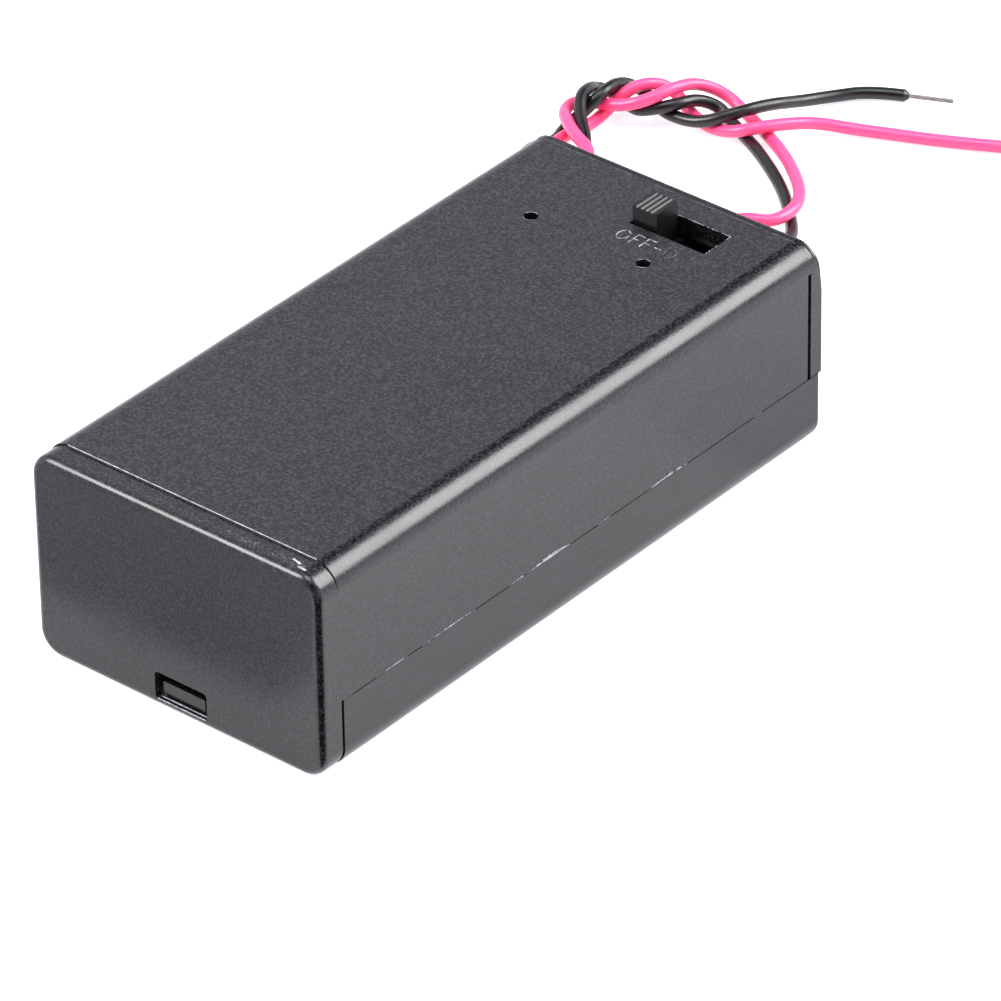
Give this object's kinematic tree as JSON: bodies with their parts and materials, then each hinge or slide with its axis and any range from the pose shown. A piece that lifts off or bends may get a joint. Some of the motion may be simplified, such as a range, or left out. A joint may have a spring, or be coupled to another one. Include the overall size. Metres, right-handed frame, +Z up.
{
  "type": "nine volt battery holder",
  "caption": "Closed plastic box that holds a nine volt block battery, with a slide switch, a screwed hinging cover and two twisted wire leads.",
  "frame": {"origin": "middle of the underside of the box, on the outside of its cover", "axes": "+X across the box, +Y along it towards the end with the switch and the leads, +Z up through the switch face"},
  "size_m": [0.0537, 0.1255, 0.0227],
  "materials": {
    "case_abs": "fine spark texture outside, satin walls",
    "cover_abs": "satin moulded",
    "knob_plastic": "moulded, ridged grip",
    "retainer_plastic": "smooth moulded",
    "board_plastic": "flat sheet",
    "nickel": "bright nickel plate",
    "plated_steel": "zinc plated",
    "tinned_brass": "tin plated",
    "phenolic": "punched laminate",
    "silvered_brass": "rolled strip",
    "phosphor_bronze": "rolled spring strip",
    "red_pvc": "extruded, soft gloss",
    "black_pvc": "extruded, soft gloss",
    "tinned_copper": "stranded and tinned",
    "solder": "bright bead"
  },
  "bodies": {
    "case": {"case_tray": "case_abs", "snap_board": "board_plastic", "minus_stud": "nickel", "plus_socket": "nickel", "minus_rivet": "tinned_brass", "plus_rivet": "tinned_brass", "minus_tag": "tinned_brass", "plus_tag": "tinned_brass", "switch_shell": "plated_steel", "switch_base": "phenolic", "switch_terminal_off": "silvered_brass", "switch_terminal_common": "silvered_brass", "switch_terminal_on": "silvered_brass", "switch_retainer": "retainer_plastic", "red_lead_inner": "red_pvc", "black_lead_inner": "black_pvc", "jumper_wire": "black_pvc", "solder_plus": "solder", "solder_minus": "solder", "solder_common": "solder", "solder_on": "solder", "red_lead": "red_pvc", "black_lead": "black_pvc", "red_tip": "tinned_copper", "black_tip": "tinned_copper"},
    "cover": {"cover": "cover_abs", "cover_screw": "plated_steel"},
    "slider": {"switch_knob": "knob_plastic", "switch_clip": "phosphor_bronze"}
  },
  "joints": [
    {"name": "switch_slide", "type": "slide", "parent": "case", "child": "slider", "axis": [1, 0, 0], "range_m": [0, 0.0055]},
    {"name": "cover_hinge", "type": "hinge", "parent": "case", "child": "cover", "pos_m": [0, -0.0321, 0], "axis": [-1, 0, 0], "range_deg": [0, 30]}
  ]
}
